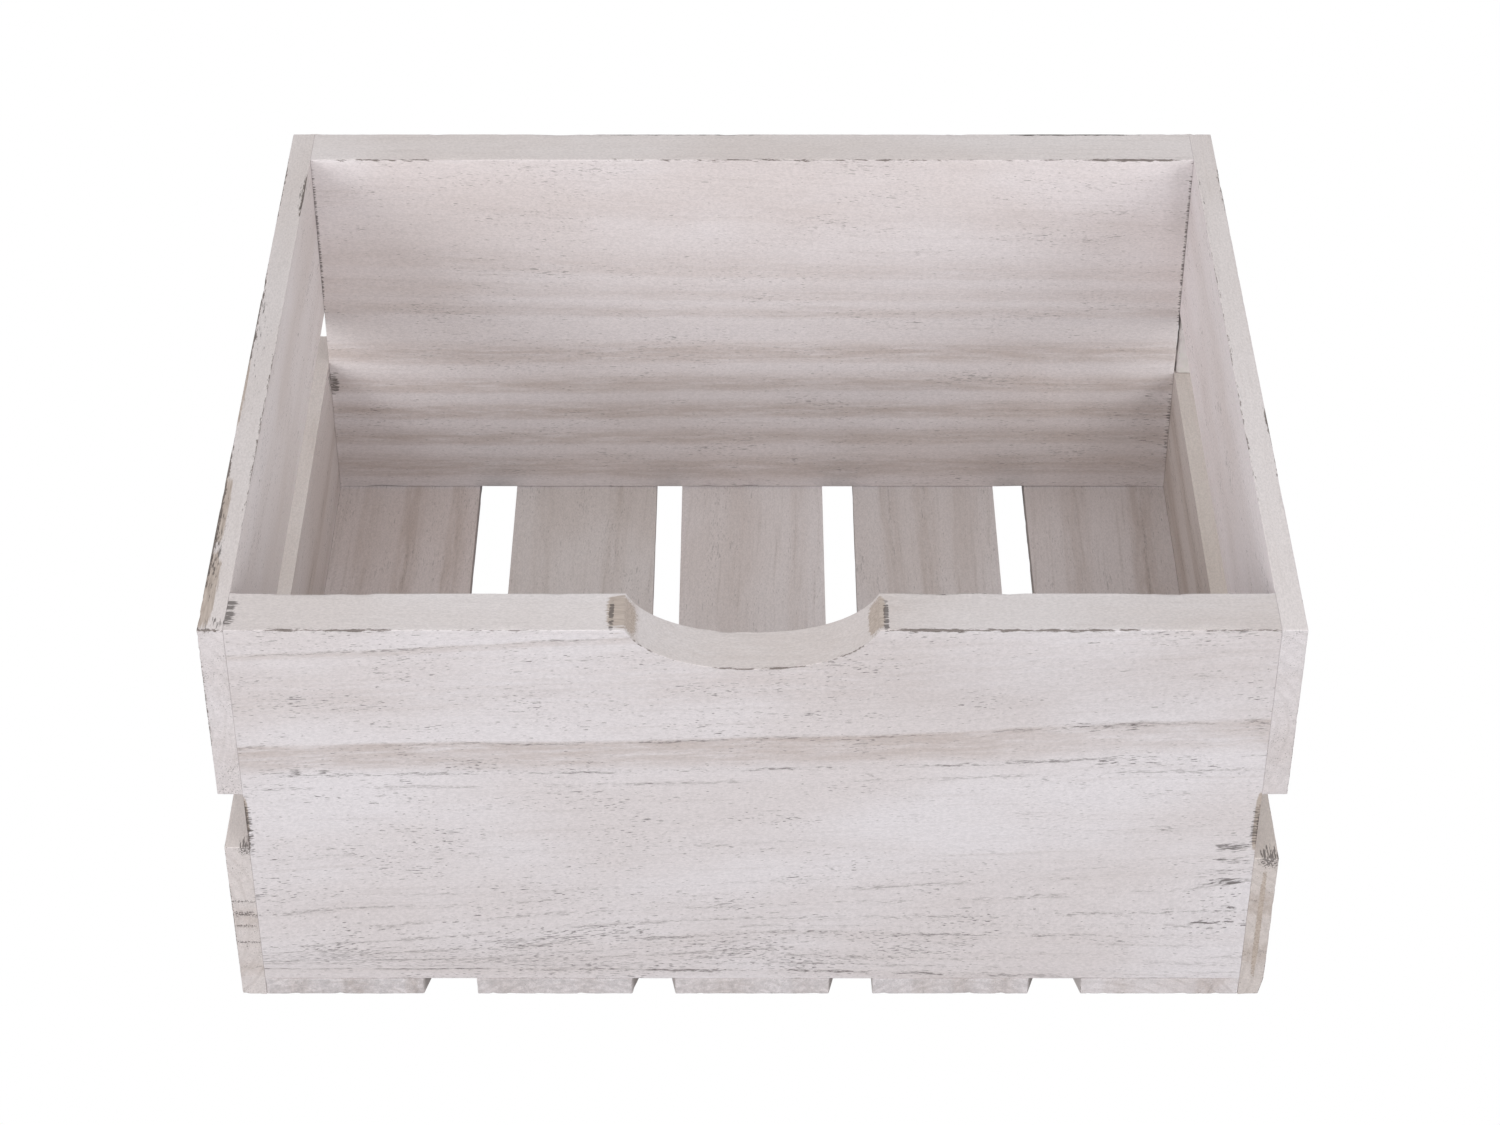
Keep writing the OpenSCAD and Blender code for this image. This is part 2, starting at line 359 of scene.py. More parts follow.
def nail_heads(board):
    """Centres of the nail heads on this board, from the box round its nails."""
    name = board.node + "_nails"
    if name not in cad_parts:
        return []
    lo, hi = (np.array(corner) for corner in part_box(name))
    outer = hi[0] if board.thin == 0 and lo[0] > 0 else lo[board.thin]
    heads = []
    for along in (lo[board.grain] + NAIL_HEAD_R, hi[board.grain] - NAIL_HEAD_R):
        for across in (lo[board.across] + NAIL_HEAD_R, hi[board.across] - NAIL_HEAD_R):
            head = np.zeros(3)
            head[board.grain] = along
            head[board.across] = across
            head[board.thin] = outer
            heads.append(head)
    return heads


def grid_rows(lo, hi, step, marks):
    """Grid lines along one axis: fine over the rounded edges and at the marks."""
    edge = EDGE_RADIUS - EDGE_RADIUS * np.tan(EDGE_ANGLES)
    edge = np.concatenate([edge, EDGE_RADIUS + EDGE_ROWS])
    edge = edge[edge < (hi - lo) / 2]
    start, end = lo + edge[-1], hi - edge[-1]
    middle = np.linspace(start, end, max(2, round((end - start) / step) + 1))
    marks = [mark for mark in marks if start < mark < end]
    kept = [lo]
    for row in np.unique(np.concatenate([lo + edge, middle, marks, hi - edge])):
        if row - kept[-1] > CLOSEST_ROWS and hi - row > CLOSEST_ROWS:
            kept.append(row)
    return np.array(kept + [hi])


def board_grid(board, lo, hi):
    """The grid lines of a board's surface along X, Y and Z."""
    heads = nail_heads(board)
    rows = []
    for axis in range(3):
        step = {board.grain: STEP_ALONG, board.across: STEP_ACROSS, board.thin: STEP_THROUGH}[axis]
        marks = []
        if axis != board.thin:
            for head in heads:
                marks.extend(head[axis] + NAIL_ROWS)
        if board.notched and axis == 0:
            marks.extend(NOTCH_ROWS)
        rows.append(grid_rows(lo[axis], hi[axis], step, marks))
    return rows


def box_surface(xs, ys, zs):
    """Points and quads of a closed box whose faces are grids."""
    counts = (len(xs), len(ys), len(zs))
    index = np.indices(counts)
    outside = np.zeros(counts, bool)
    for axis in range(3):
        outside |= (index[axis] == 0) | (index[axis] == counts[axis] - 1)
    number = np.full(counts, -1)
    number[outside] = np.arange(outside.sum())
    points = np.stack([xs[index[0][outside]], ys[index[1][outside]], zs[index[2][outside]]], 1)
    quads = []
    for axis in range(3):
        for side in (0, -1):
            face = number.take(side, axis=axis)
            ring = [face[:-1, :-1], face[1:, :-1], face[1:, 1:], face[:-1, 1:]]
            quad = np.stack([corner.ravel() for corner in ring], 1)
            # take() keeps the order of the other two axes, which turns the Y faces over
            outward = (side == -1) == (axis != 1)
            quads.append(quad if outward else quad[:, ::-1])
    return points, np.concatenate(quads)


def in_cells(points, grain, along, across):
    """The points measured in cells that are long along the grain."""
    size = np.full(3, across)
    size[grain] = along
    return points / size


def looseness(board, points, lo, hi):
    """0 at the edges where boards meet, and 1 away from them."""
    if board.grain == 0:
        joint_distance = np.minimum(points - lo, hi - points)[:, 0]
    elif board.thin == 0:
        inner = lo[0] if lo[0] > 0 else hi[0]
        joint_distance = np.abs(points[:, 0] - inner)
    else:
        joint_distance = hi[2] - points[:, 2]
    return smoothstep(*JOINT_FADE, joint_distance)


def round_edges(board, points, lo, hi, loose):
    """Rounds the edges, tightly where boards meet, and gives each point's outward direction."""
    radius = EDGE_RADIUS * (EDGE_LEAST + EDGE_SPREAD * fractal(points / EDGE_CELL, board.seed))
    radius = (JOINT_RADIUS + (radius - JOINT_RADIUS) * loose)[:, None]
    core = np.clip(points, lo + radius, hi - radius)
    out = points - core
    normal = out / np.linalg.norm(out, axis=1)[:, None]
    return core + normal * radius, normal


def relief(board, points, edge_distance, loose):
    """How far nicks, planing ridges and rough sawn ends sink the surface."""
    nick_noise = fractal(in_cells(points, board.grain, *NICK_CELLS), board.seed + 5)
    near_edge = np.exp(-edge_distance / NICK_WIDTH)
    nicks = smoothstep(*NICK_LEVELS, nick_noise) * near_edge * NICK_DEPTH
    ridges = fractal(in_cells(points, board.grain, *RIDGE_CELLS), board.seed + 7, 2)
    return nicks * loose + (RIDGE_DEPTH + LOOSE_RIDGE_DEPTH * loose) * ridges


def sink_nails(board, points, depth):
    """Adds the dimples that the nail heads sit in."""
    for head in nail_heads(board):
        offset = points - head
        near_face = np.abs(offset[:, board.thin]) < NAIL_NEAR
        offset[:, board.thin] = 0
        radius = np.linalg.norm(offset, axis=1)
        pit = NAIL_DIMPLE * (1 - smoothstep(NAIL_HEAD_R, NAIL_HEAD_R + NAIL_RIM, radius))
        depth = np.where(near_face & (pit > 0), np.maximum(pit, depth), depth)
    return depth


def cut_corners(board, points, lo, hi):
    """Cuts back the front corners of a base slat, or the lower corners of a side slat."""
    if board.thin == 2:
        near = 1 - (points[:, 1] - lo[1]) / CUT_LENGTH
    else:
        near = 1 - (points[:, 2] - lo[2]) / CUT_HEIGHT
    near = np.clip(near, 0, 1)
    for side, cut in zip((-1, 1), board.cuts):
        margin = points[:, 0] - lo[0] if side < 0 else hi[0] - points[:, 0]
        share = 1 - smoothstep(0, CUT_WIDTH, margin)
        points[:, 0] -= side * cut * MM * near * share


def grain_coordinates(board, points, lo):
    """Place along, across and through the board, bent as its growth rings run."""
    along = points[:, board.grain]
    height = points[:, board.across] - lo[board.across]
    stray = fractal(in_cells(points, board.grain, *STRAY_CELLS), board.seed + 11, 2) - 0.5
    ripple = fractal(in_cells(points, board.grain, *RIPPLE_CELLS), board.seed + 12, 2) - 0.5
    at, left, right = zip(*board.slopes)
    slope = np.where(along < 0, np.interp(height / MM, at, left), np.interp(height / MM, at, right))
    climb = slope * along
    course = climb + (stray * 2 * board.wander + ripple * RIPPLE) * MM
    return np.stack([along, height - course, points[:, board.thin] - lo[board.thin]], 1)


def spots(points, places):
    """How strongly the listed places mark each point, fading towards their borders."""
    total = np.zeros(len(points))
    for centre, half, strength in places:
        away = np.abs(points - np.array(centre) * MM) / (np.array(half) * MM)
        distance = (away**4).sum(1) ** 0.25
        total = np.maximum(total, strength * (1 - smoothstep(*SPOT_FADE, distance)))
    return total


def wear(board, points, edge_distance, loose):
    """How far the wash is rubbed off along the edges."""
    patches = fractal(in_cells(points, board.grain, *WEAR_CELLS), board.seed + 13)
    everywhere = (0.3 + 0.35 * smoothstep(*WEAR_LEVELS, patches)) * loose
    faint = np.exp(-edge_distance / FAINT_WIDTH) * everywhere
    return np.maximum(faint, np.exp(-edge_distance / WEAR_WIDTH) * spots(points, board.worn))


def inner_light_mask(points):
    """How much the painted light and shade inside the crate apply: 1 on the surfaces inside the crate,
    more so towards its bottom, and 0 outside.
    """
    wall = np.array([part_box("right_upper_slat")[0][0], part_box("back_board")[0][1]])
    margin = (wall + INSIDE_MARGIN - np.abs(points[:, :2])).min(1)
    within = smoothstep(0, INSIDE_EDGE, margin)
    above_base = smoothstep(*INSIDE_BOTTOM, points[:, 2])
    return within * above_base * (1 - INSIDE_LOSS * smoothstep(*INSIDE_TOP, points[:, 2]))


def add_mesh(name, points, quads):
    """A smooth-shaded object of these points and quads."""
    mesh = bpy.data.meshes.new(name)
    mesh.from_pydata(points.tolist(), [], quads.tolist())
    mesh.polygons.foreach_set("use_smooth", np.ones(len(quads), bool))
    mesh.update()
    piece = bpy.data.objects.new(name, mesh)
    bpy.context.scene.collection.objects.link(piece)
    return piece


def put_attribute(mesh, name, values):
    """Keeps one number or vector for each point, for the material to read."""
    kind, slot = ("FLOAT_VECTOR", "vector") if values.ndim == 2 else ("FLOAT", "value")
    layer = mesh.attributes.new(name, kind, "POINT")
    layer.data.foreach_set(slot, values.astype(np.float32).ravel())


def build_board(board):
    """Makes one board with eased, worn edges and sunk nails, and the masks of its marks."""
    lo, hi = (np.array(corner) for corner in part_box(board.node))
    flat, quads = box_surface(*board_grid(board, lo, hi))
    margins = np.minimum(flat - lo, hi - flat)
    edge_distance = np.sort(margins, axis=1)[:, 1]
    loose = looseness(board, flat, lo, hi)
    shaped, normal = round_edges(board, flat, lo, hi, loose)
    depth = sink_nails(board, shaped, relief(board, flat, edge_distance, loose))
    shaped = shaped - normal * depth[:, None]
    if board.notched:
        reach = np.clip((shaped[:, 2] - (hi[2] - NOTCH_REACH)) / NOTCH_REACH, 0, 1)
        shaped[:, 2] -= reach * notch_drop(shaped[:, 0])
    cut_corners(board, shaped, lo, hi)

    piece = add_mesh(board.node + "_wood", shaped, quads)
    put_attribute(piece.data, "grain", grain_coordinates(board, shaped, lo))
    put_attribute(piece.data, "worn", wear(board, shaped, edge_distance, loose))
    for mark in ("bare", "dark", "calm", "painted_shade", "busy"):
        put_attribute(piece.data, mark, spots(shaped, getattr(board, mark)))
    put_attribute(piece.data, "end", normal[:, board.grain] ** 2)
    put_attribute(piece.data, "narrow", normal[:, board.across] ** 2)
    put_attribute(piece.data, "inner_light_mask", inner_light_mask(shaped))
    return piece


# ---------------------------------------------------------------- materials


def srgb(red, green, blue):
    """A linear colour from screen values of 0 to 255."""
    linear = []
    for value in (red, green, blue):
        v = value / 255
        linear.append(v / 12.92 if v <= 0.04045 else ((v + 0.055) / 1.055) ** 2.4)
    return (*linear, 1.0)


WASH = srgb(220, 214, 216)
WASH_WARM = srgb(212, 204, 204)
STREAK = srgb(180, 170, 167)
BAND = srgb(180, 165, 158)
TICK = srgb(112, 106, 106)
PORE = srgb(104, 97, 95)
WOOD = srgb(190, 177, 167)
WOOD_DARK = srgb(158, 144, 134)
EDGE = srgb(106, 97, 92)
NARROW_TONE = (0.99, 0.985, 0.96, 1.0)
DARK = srgb(84, 78, 76)
# Colour of the painted shade
PAINTED_SHADE_COLOUR = srgb(110, 98, 92)
END_LINE = srgb(150, 140, 136)
FILLER = srgb(206, 202, 198)
STEEL = srgb(150, 146, 142)
RUST = srgb(122, 98, 82)

# Sizes of the wood's noises, as cells in mm along and across the grain
DRIFT_CELLS = (110, 45)
STREAK_CELLS = (60, 1.6)
TOOTH_CELLS = (1.2, 0.55)
BAND_PATCH_CELLS = (26, 2.2)
ROW_JITTER_CELLS = (6, 2.5)
DASH_CELLS = (3.2, 0.36)
DASH_GAP_CELLS = (30, 3)
CLUSTER_CELLS = (38, 9)
FINE_TICK_CELLS = (2.6, 0.45)
COARSE_TICK_CELLS = (6, 0.62)
BLOTCH_CELLS = (5, 2.4)
ARC_CELLS = (60, 4.2)
FIBRE_CELLS = (9, 0.7)
CRUMB_CELLS = (4, 0.8)
SCUFF_CELLS = (4.6, 0.6)

# Reach of a row of pores below and above its ring, in mm, and how far its dashes stray
ROW_BELOW, ROW_ABOVE = 1.6, 1.2
ROW_JITTER = 2.6 * MM
# Where the heart of the tree lies from the boards' ends, which shapes the arcs there
HEART_LOWEST = 10 * MM
HEART_SPREAD = 7 * MM
HEART_DEPTH = 34 * MM
GRAIN_BUMP = 0.35
GRAIN_RELIEF = 0.25 * MM


class Tree:
    """Short forms for building a material's nodes."""

    def __init__(self, name):
        self.material = bpy.data.materials.new(name)
        self.material.use_nodes = True
        self.nodes = self.material.node_tree.nodes
        self.links = self.material.node_tree.links
        self.surface = self.nodes["Principled BSDF"]

    def put(self, socket, value):
        """Links a socket to another node's output, or sets its value."""
        if isinstance(value, bpy.types.NodeSocket):
            self.links.new(value, socket)
        else:
            socket.default_value = value

    def maths(self, operation, a, b):
        node = self.nodes.new("ShaderNodeMath")
        node.operation = operation
        self.put(node.inputs[0], a)
        self.put(node.inputs[1], b)
        return node.outputs[0]

    def plus(self, a, b):
        return self.maths("ADD", a, b)

    def minus(self, a, b):
        return self.maths("SUBTRACT", a, b)

    def times(self, a, b):
        return self.maths("MULTIPLY", a, b)

    def around_zero(self, value, reach):
        """A noise moved to lie around zero, and made reach times as strong."""
        return self.times(self.minus(value, 0.5), reach)

    def attribute(self, name, output="Fac"):
        node = self.nodes.new("ShaderNodeAttribute")
        node.attribute_name = name
        return node.outputs[output]

    def cells(self, vector, along, across, shift=0.0):
        """A vector in metres as cells of along by across millimetres, moved by shift."""
        node = self.nodes.new("ShaderNodeVectorMath")
        node.operation = "MULTIPLY_ADD"
        self.put(node.inputs[0], vector)
        node.inputs[1].default_value = (1000 / along, 1000 / across, 1000 / across)
        node.inputs[2].default_value = (shift, shift * 1.7, shift * 0.6)
        return node.outputs[0]

    def noise(self, vector, detail=2.0, roughness=0.5):
        node = self.nodes.new("ShaderNodeTexNoise")
        node.inputs["Scale"].default_value = 1.0
        node.inputs["Detail"].default_value = detail
        node.inputs["Roughness"].default_value = roughness
        self.put(node.inputs["Vector"], vector)
        return node.outputs["Fac"]

    def arcs(self, vector, distortion):
        """Rings round the along axis, one per unit."""
        node = self.nodes.new("ShaderNodeTexWave")
        node.wave_type = "RINGS"
        node.rings_direction = "X"
        node.inputs["Scale"].default_value = math.tau / 20
        node.inputs["Distortion"].default_value = distortion
        node.inputs["Detail"].default_value = 2.0
        self.put(node.inputs["Vector"], vector)
        return node.outputs["Fac"]

    def step(self, value, lo, hi, top=1.0):
        """0 below lo, top above hi and smooth between them."""
        node = self.nodes.new("ShaderNodeMapRange")
        node.interpolation_type = "SMOOTHSTEP"
        self.put(node.inputs["Value"], value)
        node.inputs["From Min"].default_value = lo
        node.inputs["From Max"].default_value = hi
        node.inputs["To Max"].default_value = top
        return node.outputs["Result"]

    def mix(self, factor, a, b, blend="MIX"):
        node = self.nodes.new("ShaderNodeMix")
        node.data_type = "RGBA"
        node.blend_type = blend
        self.put(node.inputs["Factor"], factor)
        self.put(node.inputs["A"], a)
        self.put(node.inputs["B"], b)
        return node.outputs["Result"]

    def tinted(self, colour, tint):
        return self.mix(1.0, colour, tint, "MULTIPLY")

    def profile(self, height, length, shapes):
        """The sum of shapes over a length in mm, each a list of (place in mm, value)."""
        place = self.maths("DIVIDE", height, length * MM)
        total = self.ramp(place, length, shapes[::2])
        return self.plus(total, self.ramp(place, length, shapes[1::2]))

    def ramp(self, place, length, shapes):
        """One colour ramp through all the shapes, which may hold 32 stops at most."""
        node = self.nodes.new("ShaderNodeValToRGB")
        ramp = node.color_ramp
        points = [point for shape in shapes for point in shape]
        inner = [(at / length, value) for at, value in points if 0 < at < length]
        stops = sorted([(0.0, 0.0), *inner, (1.0, 0.0)])
        while len(ramp.elements) < len(stops):
            ramp.elements.new(1.0)
        for element, (at, _) in zip(ramp.elements, stops):
            element.position = at
        for element, (_, value) in zip(ramp.elements, stops):
            element.color = (value, value, value, 1.0)
        self.put(node.inputs[0], place)
        return node.outputs["Color"]


def wide_face(t):
    """1 on a board's wide faces and 0 on its narrow ones."""
    return t.step(t.attribute("narrow"), 0.9, 0.2)


def lively(t):
    """Low in the places where rings and ticks hardly show, and 1 elsewhere."""
    return t.minus(1.0, t.attribute("calm"))


def ring_shapes(board):
    """The soft bands and the rows of pores of a board's rings, as shapes across it."""
    bands = []
    rows = []
    for height, below, above, tone, pores in board.rings:
        rows.append([(height - ROW_BELOW, 0.0), (height, pores), (height + ROW_ABOVE, 0.0)])
        if tone > 0:
            soft_side = [(height - below, 0.0), (height - 0.7 * below, 0.8 * tone)]
            bands.append([*soft_side, (height, tone), (height + above, 0.0)])
    return bands, rows


def ring_marks(t, board, grain, shift):
    """The soft brown bands of the growth rings, and the broken rows of pores along them."""
    split = t.nodes.new("ShaderNodeSeparateXYZ")
    t.put(split.inputs[0], grain)
    height = split.outputs["Y"]
    lo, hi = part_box(board.node)
    width = (hi - lo)[board.across] / MM
    bands, rows = ring_shapes(board)

    patchy = t.step(t.noise(t.cells(grain, *BAND_PATCH_CELLS, shift), 5, 0.7), 0.2, 0.66)
    band = t.times(t.profile(height, width, bands), patchy)

    jitter = t.noise(t.cells(grain, *ROW_JITTER_CELLS, shift + 2), 2, 0.6)
    row = t.profile(t.plus(height, t.around_zero(jitter, ROW_JITTER)), width, rows)
    dashes = t.noise(t.cells(grain, *DASH_CELLS, shift + 3), 3, 0.7)
    gaps = t.step(t.noise(t.cells(grain, *DASH_GAP_CELLS, shift + 5), 3, 0.6), 0.36, 0.62)
    dashes = t.plus(dashes, t.times(t.plus(row, gaps), 0.2))
    pores = t.times(t.step(dashes, 0.7, 0.83, 0.8), t.step(row, 0.02, 0.55))
    return t.times(band, lively(t)), t.times(t.times(pores, wide_face(t)), lively(t))


def pore_ticks(t, board, grain, shift):
    """Short dark ticks of open pores, in loose clusters."""
    cluster = t.noise(t.cells(grain, *CLUSTER_CELLS, shift), 4, 0.6)
    lift = t.around_zero(cluster, 0.45)
    fine = t.plus(t.noise(t.cells(grain, *FINE_TICK_CELLS, shift + 4), 1, 0.5), lift)
    fine = t.plus(fine, t.times(t.attribute("busy"), 0.12))
    coarse = t.plus(t.noise(t.cells(grain, *COARSE_TICK_CELLS, shift + 6), 2, 0.55), lift)
    fine = t.step(fine, 0.685, 0.745, 0.62 * board.ticks)
    coarse = t.step(coarse, 0.7, 0.75, 0.78 * board.ticks)
    ticks = t.times(t.maths("MAXIMUM", fine, coarse), wide_face(t))
    return t.times(ticks, lively(t))


def washed_wood(t, board, grain, shift):
    """The wash with the wood's figure showing through: its colour, streaks, tooth and pits."""
    drift = t.noise(t.cells(grain, *DRIFT_CELLS, shift), 3)
    colour = t.mix(t.step(drift, 0.35, 0.68), WASH, WASH_WARM)
    streaks = t.noise(t.cells(grain, *STREAK_CELLS, shift + 5), 4, 0.6)
    colour = t.mix(t.step(streaks, 0.5, 0.85, board.streaks), colour, STREAK)
    band, pores = ring_marks(t, board, grain, shift + 9)
    colour = t.mix(band, colour, BAND)
    colour = t.mix(pores, colour, PORE)
    ticks = pore_ticks(t, board, grain, shift + 13)
    colour = t.mix(ticks, colour, TICK)
    tooth = t.noise(t.cells(grain, *TOOTH_CELLS, shift + 23), 3, 0.7)
    speckle = t.mix(t.step(tooth, 0.3, 0.7), (0.9, 0.9, 0.9, 1), (1.06, 1.06, 1.06, 1))
    colour = t.tinted(colour, speckle)
    # The wash is thinner on the narrow faces
    colour = t.mix(t.attribute("narrow"), colour, t.tinted(colour, NARROW_TONE))
    return colour, streaks, tooth, t.plus(pores, ticks)


def sawn_end(t, board, grain, shift, colour):
    """The wash as the sawn end takes it, with arcs of the growth rings."""
    centre = t.nodes.new("ShaderNodeVectorMath")
    centre.operation = "SUBTRACT"
    t.put(centre.inputs[0], grain)
    heart = HEART_LOWEST + HEART_SPREAD * (board.seed % 5)
    centre.inputs[1].default_value = (0, heart, -HEART_DEPTH)
    arcs = t.step(t.arcs(t.cells(centre.outputs[0], *ARC_CELLS), 2.5), 0.72, 1.0)
    blotch = t.noise(t.cells(grain, *BLOTCH_CELLS, shift), 4, 0.65)
    lines = t.times(arcs, t.step(blotch, 0.35, 0.65, board.end_arcs))
    tone = board.end_tone
    darkened = t.mix(t.step(blotch, 0.3, 0.7), (tone, tone, tone, 1), (1, 1, 1, 1))
    return t.tinted(t.mix(lines, colour, END_LINE), darkened)


def tone_and_painted_light(t, board, colour):
    """The colour in the tone of this board, with painted light and shade on its inner side and painted
    shade in its darker places.
    """
    colour = t.tinted(colour, (*board.tone, 1))
    # Painted light and shade on the faces inside the crate
    inner = t.tinted(colour, (*board.inner_light_and_shade, 1))
    colour = t.mix(t.attribute("inner_light_mask"), colour, inner)
    # Painted shade in the listed places
    return t.mix(t.attribute("painted_shade"), colour, PAINTED_SHADE_COLOUR)


def marks_of_use(t, grain, shift, colour):
    """The colour with bare wood, worn edges and dark scuffs, all ragged along the grain."""
    fibre = t.noise(t.cells(grain, *FIBRE_CELLS, shift), 4, 0.65)
    wood = t.mix(t.step(fibre, 0.3, 0.75), WOOD, WOOD_DARK)
    bare = t.plus(t.attribute("bare"), t.around_zero(fibre, 0.9))
    bare = t.step(bare, 0.4, 0.6, 0.9)
    colour = t.mix(bare, colour, wood)
    crumbs = t.noise(t.cells(grain, *CRUMB_CELLS, shift + 2), 4, 0.7)
    edge = t.plus(t.attribute("worn"), t.around_zero(crumbs, 1.7))
    colour = t.mix(t.step(edge, 0.42, 0.64, 0.9), colour, EDGE)
    scuffs = t.noise(t.cells(grain, *SCUFF_CELLS, shift + 8), 3, 0.6)
    scuffs = t.plus(t.times(t.attribute("dark"), 0.5), scuffs)
    return t.mix(t.step(scuffs, 0.84, 0.95, 0.78), colour, DARK), bare


def matt_relief(t, streaks, tooth, pits):
    """A matt surface with the low relief of the grain."""
    t.put(t.surface.inputs["Roughness"], t.plus(t.times(tooth, 0.25), 0.62))
    t.surface.inputs["Specular IOR Level"].default_value = 0.3
    height = t.plus(t.times(streaks, 0.5), t.times(tooth, 0.3))
    bump = t.nodes.new("ShaderNodeBump")
    bump.inputs["Strength"].default_value = GRAIN_BUMP
    bump.inputs["Distance"].default_value = GRAIN_RELIEF
    t.put(bump.inputs["Height"], t.minus(height, t.times(pits, 0.5)))
    t.put(t.surface.inputs["Normal"], bump.outputs["Normal"])


def whitewashed(board):
    """Thin white wash over greyish brown wood, rubbed off along the edges."""
    t = Tree("whitewashed_" + board.node)
    grain = t.attribute("grain", "Vector")
    shift = board.seed * 3.1
    colour, streaks, tooth, pits = washed_wood(t, board, grain, shift)
    ended = sawn_end(t, board, grain, shift + 26, colour)
    colour = t.mix(t.attribute("end"), colour, ended)
    colour = tone_and_painted_light(t, board, colour)
    colour, bare = marks_of_use(t, grain, shift + 29, colour)
    t.put(t.surface.inputs["Base Color"], colour)
    matt_relief(t, streaks, tooth, t.plus(pits, bare))
    return t.material


def filler_material():
    """Dried filler under a coat of wash, with a few dark crumbs."""
    t = Tree("washed_filler")
    place = t.nodes.new("ShaderNodeTexCoord").outputs["Object"]
    lumps = t.noise(t.cells(place, 2.6, 2.6), 4, 0.6)
    colour = t.mix(t.step(lumps, 0.35, 0.65), FILLER, WASH_WARM)
    crumbs = t.noise(t.cells(place, 1.1, 1.1, 5), 3, 0.6)
    colour = t.mix(t.step(crumbs, 0.66, 0.72, 0.6), colour, DARK)
    t.put(t.surface.inputs["Base Color"], colour)
    t.put(t.surface.inputs["Roughness"], t.plus(t.times(lumps, 0.2), 0.7))
    return t.material


def nail_material():
    """Wire nail heads, washed over with the paint and a little rusty."""
    t = Tree("washed_nail_head")
    place = t.nodes.new("ShaderNodeTexCoord").outputs["Object"]
    blotch = t.noise(t.cells(place, 1.2, 1.2), 4, 0.65)
    steel = t.mix(t.step(blotch, 0.4, 0.65), STEEL, RUST)
    colour = t.mix(t.step(blotch, 0.3, 0.6), WASH_WARM, steel)
    t.put(t.surface.inputs["Base Color"], colour)
    t.put(t.surface.inputs["Roughness"], t.plus(t.times(blotch, 0.3), 0.4))
    return t.material


def plain_material(name, grey, glow):
    """A matt grey for the floor, which may glow white."""
    t = Tree(name)
    t.surface.inputs["Base Color"].default_value = (grey, grey, grey, 1)
    t.surface.inputs["Roughness"].default_value = 1.0
    t.surface.inputs["Specular IOR Level"].default_value = 0.0
    t.surface.inputs["Emission Color"].default_value = (1, 1, 1, 1)
    t.surface.inputs["Emission Strength"].default_value = glow
    return t.material


# ---------------------------------------------------------------- pieces


def make_boards():
    """Puts a worn wooden board in place of each plain CAD board."""
    for board in BOARDS:
        piece = build_board(board)
        piece.data.materials.append(whitewashed(board))
        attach(piece, "root")
        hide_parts(board.node)


# The lump of filler in the corner between the back board and the right side slats
FILLER_REACH = 1 * MM
FILLER_DEPTH = 7 * MM
FILLER_GAP = 0.05 * MM
FILLER_STEP = 0.7 * MM
FILLER_DENTS = 0.3


def make_filler():
    """Fills the end of the gap between the right slats, where it meets the back board."""
    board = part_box("back_board")
    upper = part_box("right_upper_slat")
    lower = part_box("right_lower_slat")
    lo = np.array([lower[0][0], board[0][1] - FILLER_REACH, lower[1][2]]) + FILLER_GAP
    hi = np.array([lower[1][0], board[0][1] + FILLER_DEPTH, upper[0][2]]) - FILLER_GAP
    rows = [np.linspace(a, b, round((b - a) / FILLER_STEP)) for a, b in zip(lo, hi)]
    points, quads = box_surface(*rows)
    middle = (lo + hi) / 2
    reach = np.abs((points - middle) / (hi - middle))[:, :2]
    rounded = (reach**4).sum(1) ** -0.25
    rounded = np.minimum(rounded, 1) * (1 - FILLER_DENTS * fractal(points / (4 * MM), 97))
    points[:, :2] = (middle + (points - middle) * rounded[:, None])[:, :2]
    piece = add_mesh("corner_filler", points, quads)
    piece.data.materials.append(filler_material())
    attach(piece, "root")


def dress_nails():
    """Gives the CAD nails their finish."""
    material = nail_material()
    for name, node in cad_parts.items():
        if name.endswith("_nails"):
            node.data.materials.clear()
            node.data.materials.append(material)


# ---------------------------------------------------------------- camera, floor and light

# The camera looks down at the crate from in front
CAMERA_PLACE = Vector((-0.8, -1006.2, 872.7)) * MM
CAMERA_DOWN = math.radians(38.49)
CAMERA_LENS = 83.28
SENSOR_WIDTH = 36

# The floor, the bend that its rim rises in, and how far both floors lie below the crate
FLOOR_R = 4.5
FLOOR_SIDES = 48
SWEEP_R = 1.5
SWEEP_HEIGHT = 6.0
SWEEP_DROP = 0.3 * MM
BOUNCE_DROP = 1.5 * MM
BOUNCE_GREY = 0.2

WORLD_LIGHT = 0.69
SOFTBOX_SIZE = 1.2
SOFTBOX_AIM = (0, 0, 0.08)
# Place and power of each softbox
SOFTBOXES = {
    "left_softbox": ((-1.3, -1.5, 0.8), 16.5),
    "right_softbox": ((1.3, -1.5, 0.8), 12.3),
    "front_softbox": ((0, -1.8, 1.15), 7.3),
}


def add_camera():
    data = bpy.data.cameras.new("camera")
    data.lens = CAMERA_LENS
    data.sensor_width = SENSOR_WIDTH
    data.clip_start = 0.05
    camera = bpy.data.objects.new("camera", data)
    camera.location = CAMERA_PLACE
    camera.rotation_euler = (math.pi / 2 - CAMERA_DOWN, 0, 0)
    bpy.context.scene.collection.objects.link(camera)
    bpy.context.scene.camera = camera


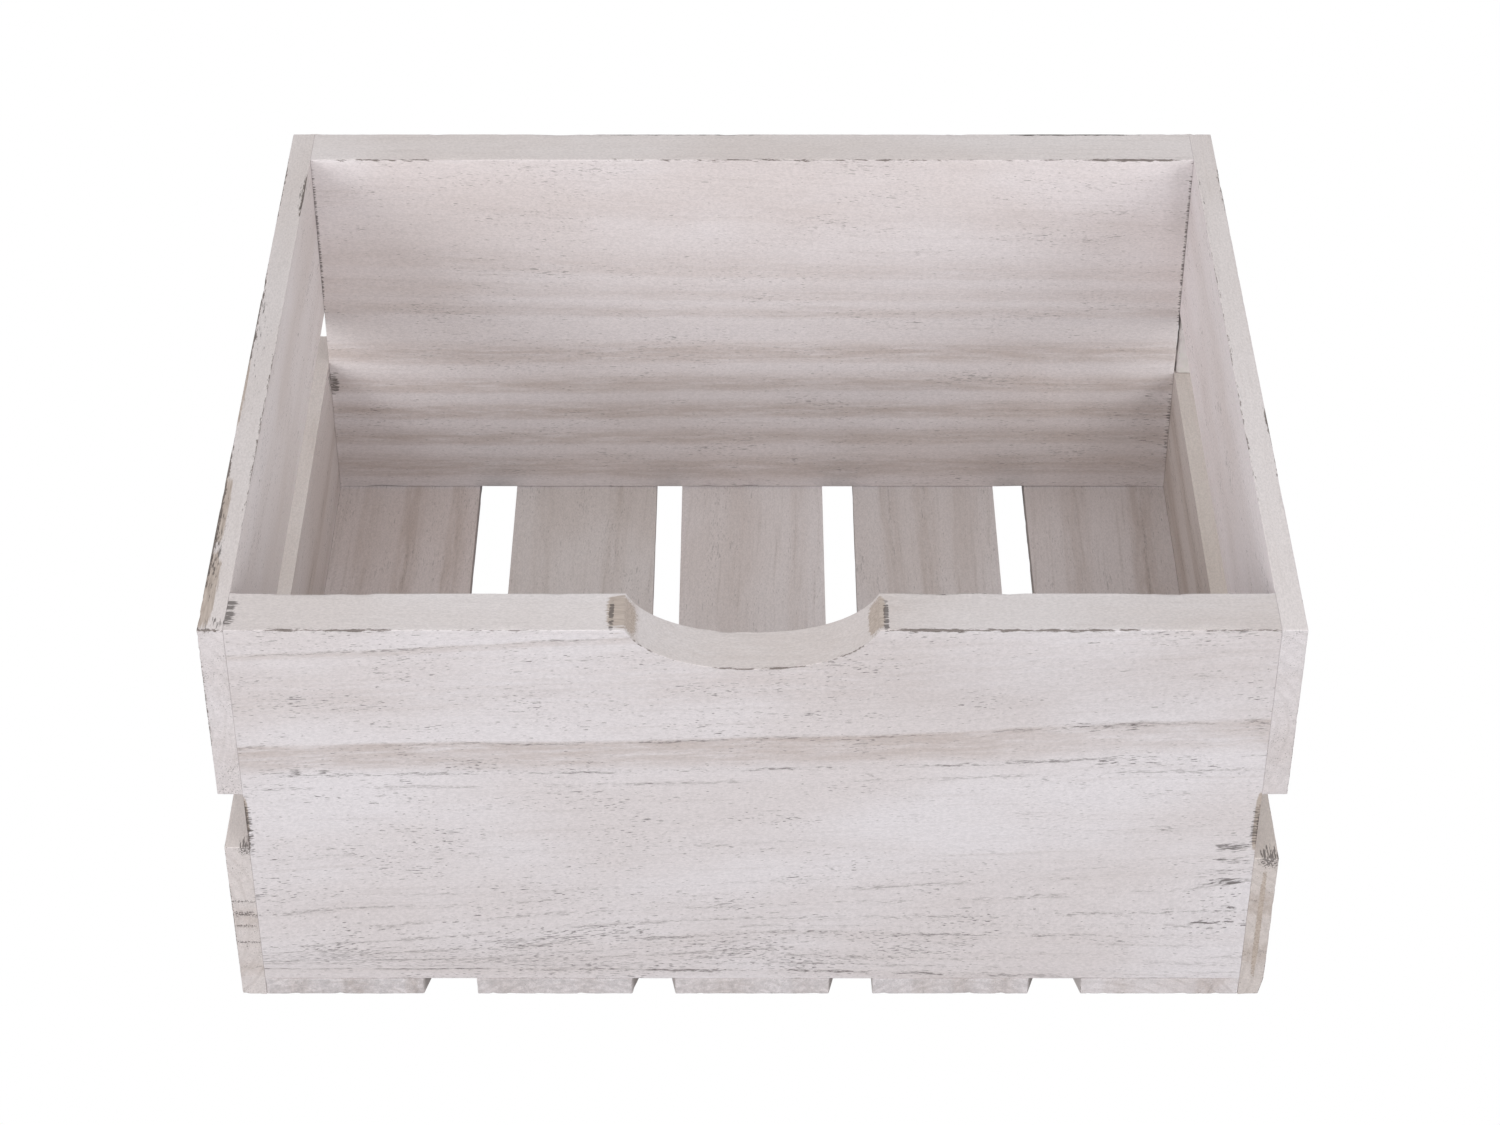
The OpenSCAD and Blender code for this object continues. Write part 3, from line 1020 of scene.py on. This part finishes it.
def add_stage(name, height, profile, material):
    """A round floor whose rim can rise, from (radius, height) pairs in metres."""
    turns = np.arange(0, math.tau, math.tau / FLOOR_SIDES)
    circle = np.stack([np.cos(turns), np.sin(turns)], 1)
    points = [(r * x, r * y, z) for r, z in profile for x, y in circle.tolist()]
    faces = [tuple(range(FLOOR_SIDES))]
    for first in range(0, len(points) - FLOOR_SIDES, FLOOR_SIDES):
        for side in range(FLOOR_SIDES):
            a, b = first + side, first + (side + 1) % FLOOR_SIDES
            faces.append((a, b, b + FLOOR_SIDES, a + FLOOR_SIDES))
    mesh = bpy.data.meshes.new(name)
    mesh.from_pydata(points, [], faces)
    mesh.materials.append(material)
    floor = bpy.data.objects.new(name, mesh)
    floor.location.z = height
    bpy.context.scene.collection.objects.link(floor)
    return floor


def add_floor():
    """A shadowless white sweep, over a grey floor that gives the little light from below."""
    bend = [math.radians(angle) for angle in range(0, 91, 10)]
    rim = [(FLOOR_R + SWEEP_R * math.sin(a), SWEEP_R * (1 - math.cos(a))) for a in bend]
    wall = [(FLOOR_R + SWEEP_R, SWEEP_HEIGHT)]
    white = plain_material("white_sweep", 0.0, 1.0)
    sweep = add_stage("floor", -SWEEP_DROP, rim + wall, white)
    sweep.visible_diffuse = False
    sweep.visible_glossy = False
    sweep.visible_shadow = False
    grey = plain_material("grey_bounce", BOUNCE_GREY, 0.0)
    add_stage("floor_bounce", -BOUNCE_DROP, [(FLOOR_R, 0)], grey)


def add_softbox(name, place, power):
    data = bpy.data.lights.new(name, "AREA")
    data.shape = "DISK"
    data.size = SOFTBOX_SIZE
    data.energy = power
    light = bpy.data.objects.new(name, data)
    light.location = place
    aim = Vector(SOFTBOX_AIM) - Vector(place)
    light.rotation_euler = aim.to_track_quat("-Z", "Y").to_euler()
    bpy.context.scene.collection.objects.link(light)


def light_scene():
    """Soft white light from all round, and three softboxes in front of the crate."""
    world = bpy.data.worlds.new("studio")
    world.use_nodes = True
    background = world.node_tree.nodes["Background"]
    background.inputs["Color"].default_value = (1, 1, 1, 1)
    background.inputs["Strength"].default_value = WORLD_LIGHT
    bpy.context.scene.world = world
    for name, (place, power) in SOFTBOXES.items():
        add_softbox(name, place, power)
    bpy.context.scene.view_settings.view_transform = "Standard"


add_camera()
add_floor()
light_scene()
make_boards()
make_filler()
dress_nails()
